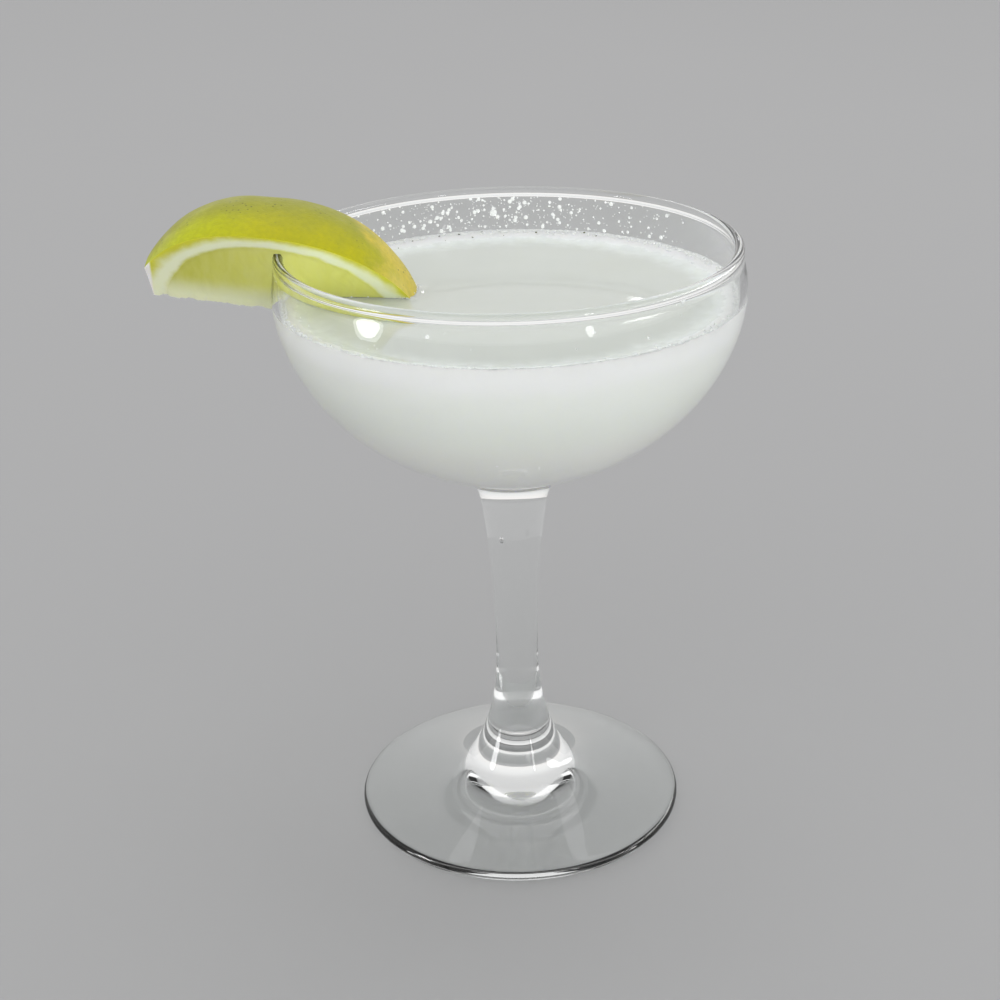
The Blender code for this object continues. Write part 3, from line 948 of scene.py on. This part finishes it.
# Painted shade: the calm surface gets a darker copy of the drink's colour, so that under the light from
# above it looks no brighter than the body.
colour = blend_colours(tree, streaks, SHADED_SURFACE, SHADED_SURFACE_CLOUD)
colour = blend_colours(tree, foamy, colour, FROTH)
tree.links.new(colour, shader.inputs["Base Color"])
gloss = add_node(tree, "ShaderNodeMapRange", {"Value": foamy, "To Min": 0.02, "To Max": 0.35})
tree.links.new(gloss.outputs[0], shader.inputs["Roughness"])
fizz = use_group(tree, grain, Vector=place, Scale=1600.0, Depth=0.005 * MM)
tree.links.new(fizz, shader.inputs["Normal"])
print("froth covers the outer %.1f mm of the surface" % ((WALL_LINE - FROTH_OVER[0]) / MM))

# %% [markdown]
# The drink is spun, shaped and given its two finishes. Then the room that the wedge takes is carved out with
# a slightly smaller wedge, so that the drink reaches into the flesh and no dark gap shows round it.

# %% Make the drink
WEDGE_SUNK = 0.5 * MM

bm = bmesh.new()
bm.from_mesh(wedge.data)
wedge_tree = BVHTree.FromBMesh(bm)
bm.free()

bm = spun(drink_outline(), 420)
for face in bm.faces:
    middle = face.calc_center_median()
    inside = math.hypot(middle.x, middle.y) < WALL_LINE - MERGE
    face.material_index = 1 if inside and abs(middle.z - LEVEL) < MERGE else 0
shape_surface(bm, wedge_tree)
bm.normal_update()
drink = into_scene(bm, "cloudy_drink_body", body, top)
bm = wedge_form(along=60, deep=6, across=16, shrink=WEDGE_SUNK)
for face in bm.faces:
    face.material_index = 1
bmesh.ops.transform(bm, matrix=WEDGE_PLACE, verts=bm.verts)
carve(drink, into_scene(bm, "wedge_room", body, top))
drink.data.shade_smooth()
drink.data.set_sharp_from_angle(angle=math.radians(60))
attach(drink, "root")
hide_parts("drink")

# %% [markdown]
# Froth is many bubbles, and droplets of the shaken drink cling to the bare wall above it. Each kind is one
# piece: a small ball is made once, and a moved copy of it is added to the piece for each place.

# %% Scatter small balls
def ball_mesh():
    """One small ball with few faces."""
    bm = bmesh.new()
    bmesh.ops.create_icosphere(bm, subdivisions=2, radius=1.0)
    mesh = bpy.data.meshes.new("ball")
    bm.to_mesh(mesh)
    bm.free()
    return mesh


def scatter(name, material, places):
    """One piece of many balls, each with its own matrix."""
    ball = ball_mesh()
    bm = bmesh.new()
    for matrix in places:
        copy = ball.copy()
        copy.transform(matrix)
        bm.from_mesh(copy)
        bpy.data.meshes.remove(copy)
    bpy.data.meshes.remove(ball)
    thing = into_scene(bm, name, material)
    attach(thing, "root")
    return thing


def ball_place(centre, size, towards=(0, 0, 1), squash=1.0):
    """The matrix of a ball at a place, flattened along one direction."""
    turn = Vector(towards).to_track_quat("Z", "Y").to_matrix().to_4x4()
    return Matrix.Translation(centre) @ turn @ Matrix.Diagonal((size, size, size * squash, 1.0))


def clear_of_wedge(point, gap):
    """Whether a point is at least a gap away from the wedge, and outside it."""
    found, normal, _, distance = wedge_tree.find_nearest(point)
    return distance > gap and (point - found).dot(normal) > 0


def small_finish(name, dark, light, tint_scale, gloss, gloss_scale, **sockets):
    """A finish for many small things, whose colour and gloss vary from one to the next."""
    material, tree, shader = start_material(name, **sockets)
    place = object_place(tree)
    tint = use_group(tree, mottle, Vector=place, Scale=tint_scale, Low=0.0, High=1.0)
    tree.links.new(blend_colours(tree, tint, dark, light), shader.inputs["Base Color"])
    dull = use_group(tree, mottle, Vector=place, Scale=gloss_scale, Low=gloss[0], High=gloss[1])
    tree.links.new(dull, shader.inputs["Roughness"])
    return material


# %% [markdown]
# Only the bubbles at the froth's edge can be told apart, so only they are modelled: small balls half sunk in
# the collar, thickest on the line where it meets the wall. A row of finer ones follows the line where the
# wedge dips in. The draws are seeded, so they fall the same way each time.

# %% Bubbles
BUBBLE_COUNT = 2300
BUBBLE_SMALLEST = 0.08
BUBBLE_SIZES = 0.20
BUBBLE_LIFT = 0.35
BUBBLE_SPREAD = 0.6 * MM
WATERLINE_COUNT = 170
WATERLINE_SIZES = (0.08, 0.2)


def bubble_places(draw):
    """Bubbles on the froth, most of them within a millimetre of the wall."""
    places = []
    while len(places) < BUBBLE_COUNT:
        angle = draw.uniform(0, math.tau)
        size = (BUBBLE_SMALLEST + BUBBLE_SIZES * draw.random() ** 3) * MM
        inward = INTO_WALL + size + abs(draw.gauss(0, BUBBLE_SPREAD))
        radius = WALL_LINE - inward
        x, y = radius * math.cos(angle), radius * math.sin(angle)
        point = Vector((x, y, LEVEL + froth_rise(x, y) + BUBBLE_LIFT * size))
        if clear_of_wedge(point, size):
            places.append(ball_place(point, size, squash=0.9))
    return places


def waterline_places(draw):
    """Fine bubbles along the line where the wedge dips into the drink."""
    half = CREEP_HEIGHT / 2
    edge = WALL_LINE - CREEP_HEIGHT
    near = [
        vert.co for vert in wedge.data.vertices
        if abs(vert.co.z - LEVEL - half) < half and vert.co.xy.length < edge
    ]
    sizes = WATERLINE_SIZES
    return [ball_place(draw.choice(near), draw.uniform(*sizes) * MM) for _ in range(WATERLINE_COUNT)]


froth = small_finish(
    "froth_bubbles", (0.88, 0.90, 0.885), (0.96, 0.97, 0.965), 900.0, (0.05, 0.25), 1400.0, IOR=1.2
)
scatter("froth_edge_bubbles", froth, bubble_places(random.Random(11)))
scatter("waterline_bubbles", froth, waterline_places(random.Random(31)))

# %% [markdown]
# The droplets are cloudy too, and white against the bare wall. They are much too small for the scattering
# that the drink's body has, so they are a third clear and the rest plain white, with a faint glow of their
# own for the light that would wander in them. Without it they look dark where the light is behind them.

# %% Droplets
DROPLET_COUNT = 520
DROPLET_SMALLEST = 0.10
DROPLET_SIZES = 0.42
DROPLET_BAND = (0.3, 7.6)
DROPLET_SUNK = 0.25
DROPLET_GLOW = (0.125, 0.130, 0.128, 1.0)
FAR_SHARE = 0.93
FAR_MIDDLE = 93
FAR_SPREAD = 27
NEAR_SIDE = (-170, 10)
LARGE_DROPLET_ANGLE = math.radians(94)
LARGE_DROPLET_HEIGHT = 123.0 * MM
LARGE_DROPLET_SIZE = 0.85 * MM


def on_wall(angle, z, size):
    """The matrix of a droplet on the bare inner wall: a low dome against the glass."""
    radius = bowl_radius(z, WALL, BOWL_FLOOR) - DROPLET_SUNK * size
    point = Vector((radius * math.cos(angle), radius * math.sin(angle), z))
    return ball_place(point, size, towards=(-point.x, -point.y, 0.0), squash=0.6)


def droplet_places(draw):
    """One large droplet at the back of the bare inner wall, and many small ones, mostly on its far side."""
    places = [on_wall(LARGE_DROPLET_ANGLE, LARGE_DROPLET_HEIGHT, LARGE_DROPLET_SIZE)]
    while len(places) < DROPLET_COUNT:
        far = draw.random() < FAR_SHARE
        angle = math.radians(draw.gauss(FAR_MIDDLE, FAR_SPREAD) if far else draw.uniform(*NEAR_SIDE))
        z = LEVEL + FROTH_HEIGHT + draw.uniform(*DROPLET_BAND) * MM
        size = (DROPLET_SMALLEST + DROPLET_SIZES * draw.random() ** 4) * MM
        place = on_wall(angle, z, size)
        if clear_of_wedge(place.translation, size):
            places.append(place)
    return places


dew = small_finish(
    "clinging_droplets", (0.93, 0.95, 0.94), (0.99, 0.99, 0.99), 400.0, (0.02, 0.10), 600.0, IOR=1.34,
    Transmission_Weight=0.35, Emission_Color=DROPLET_GLOW, Emission_Strength=1.0
)
scatter("wall_droplets", dew, droplet_places(random.Random(23)))

# %% [markdown]
# A few dark flecks of zest came through the strainer and are caught in the froth at the back. They are the
# same balls again, flattened and tipped at random.

# %% Flecks
FLECK_COUNT = 14
FLECK_SIDE = (60, 125)
FLECK_INWARD = (0.6, 3.4)
FLECK_SIZE = (0.10, 0.28)
FLECK_LIFT = 0.1 * MM


def fleck_places(draw):
    """A few flecks of zest caught in the froth at the back."""
    places = []
    for _ in range(FLECK_COUNT):
        angle = math.radians(draw.uniform(*FLECK_SIDE))
        radius = WALL_LINE - draw.uniform(*FLECK_INWARD) * MM
        x, y = radius * math.cos(angle), radius * math.sin(angle)
        size = draw.uniform(*FLECK_SIZE) * MM
        towards = (draw.uniform(-1, 1), draw.uniform(-1, 1), 2.0)
        places.append(ball_place((x, y, LEVEL + froth_rise(x, y) + FLECK_LIFT), size, towards, squash=0.4))
    return places


fleck = small_finish(
    "zest_flecks", (0.05, 0.06, 0.02), (0.16, 0.17, 0.06), 700.0, (0.4, 0.6), 900.0, IOR=1.45
)
scatter("froth_flecks", fleck, fleck_places(random.Random(5)))
